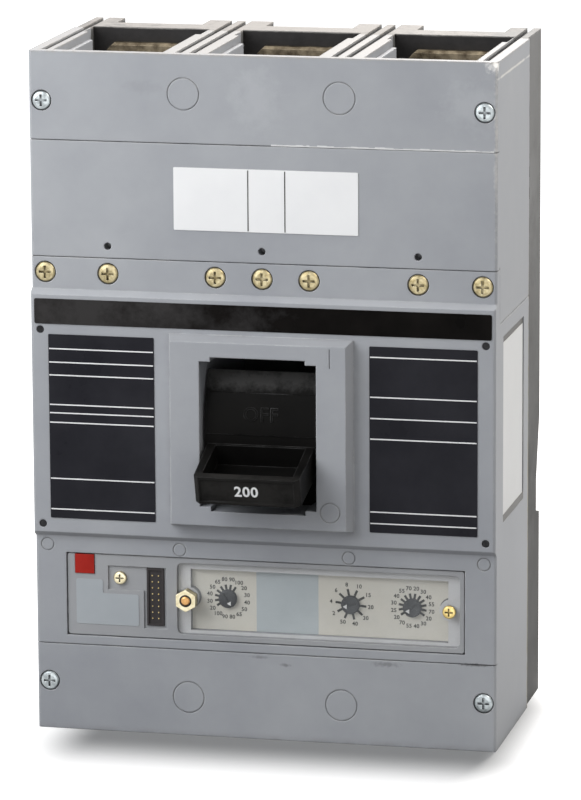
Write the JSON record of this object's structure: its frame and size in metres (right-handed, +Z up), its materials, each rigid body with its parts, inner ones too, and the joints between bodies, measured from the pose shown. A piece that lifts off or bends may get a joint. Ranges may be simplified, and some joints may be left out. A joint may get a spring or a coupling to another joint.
{
  "type": "three-pole moulded-case circuit breaker",
  "caption": "Grey moulded-case circuit breaker: split covers, black toggle handle in a raised bezel, trip unit with setting dials behind a clear window, red trip button and open terminal ends.",
  "frame": {"origin": "middle of the bottom end, under the middle of the overall depth with the handle off", "axes": "+X across the poles to the right, +Y from the front to the mounting face, +Z up towards the line end"},
  "size_m": [0.1906, 0.1326, 0.2794],
  "materials": {
    "cover_moulding": "satin",
    "base_moulding": "satin",
    "trip_moulding": "satin",
    "black_moulding": "satin",
    "black_plastic": "matte",
    "dial_plastic": "satin",
    "red_plastic": "gloss",
    "cream_plate": "satin",
    "blue_plate": "satin",
    "clear_window": "clear",
    "yellow_zinc": "satin",
    "white_zinc": "satin",
    "dark_steel": "matte",
    "pin_steel": "satin",
    "brass": "satin",
    "strap_metal": "tarnished"
  },
  "bodies": {
    "case": {"base": "base_moulding", "upper_cover": "cover_moulding", "lower_cover": "cover_moulding", "line_terminal_cover": "cover_moulding", "load_terminal_cover": "cover_moulding", "line_strap_left": "strap_metal", "line_strap_middle": "strap_metal", "line_strap_right": "strap_metal", "load_strap_left": "strap_metal", "load_strap_middle": "strap_metal", "load_strap_right": "strap_metal", "cover_screws": "yellow_zinc", "line_cover_screws": "white_zinc", "load_cover_screws": "white_zinc", "corner_pins": "dark_steel", "trip_unit": "trip_moulding", "test_socket": "black_plastic", "seal_screw": "yellow_zinc", "dial_plate_left": "cream_plate", "dial_plate_middle": "cream_plate", "dial_plate_right": "cream_plate", "blank_plate": "blue_plate", "dial_window": "clear_window", "window_standoff": "brass", "window_screw": "brass"},
    "handle": {"handle": "black_moulding", "handle_pin": "pin_steel"},
    "trip_button": {"trip_button": "red_plastic"},
    "dial_left": {"dial_left": "dial_plastic"},
    "dial_middle": {"dial_middle": "dial_plastic"},
    "dial_right": {"dial_right": "dial_plastic"}
  },
  "joints": [
    {"name": "handle_throw", "type": "hinge", "parent": "case", "child": "handle", "pos_m": [0, 0.00267, 0.1285], "axis": [-1, 0, 0], "range_deg": [-6, 32]},
    {"name": "push_to_trip", "type": "slide", "parent": "case", "child": "trip_button", "axis": [0, 1, 0], "range_m": [0, 0.003], "stiffness_N_per_m": 150},
    {"name": "dial_left_turn", "type": "hinge", "parent": "case", "child": "dial_left", "pos_m": [-0.0161, -0.02933, 0.0569], "axis": [0, 1, 0], "continuous": true},
    {"name": "dial_middle_turn", "type": "hinge", "parent": "case", "child": "dial_middle", "pos_m": [0.0347, -0.02933, 0.0569], "axis": [0, 1, 0], "continuous": true},
    {"name": "dial_right_turn", "type": "hinge", "parent": "case", "child": "dial_right", "pos_m": [0.0601, -0.02933, 0.0569], "axis": [0, 1, 0], "continuous": true}
  ]
}
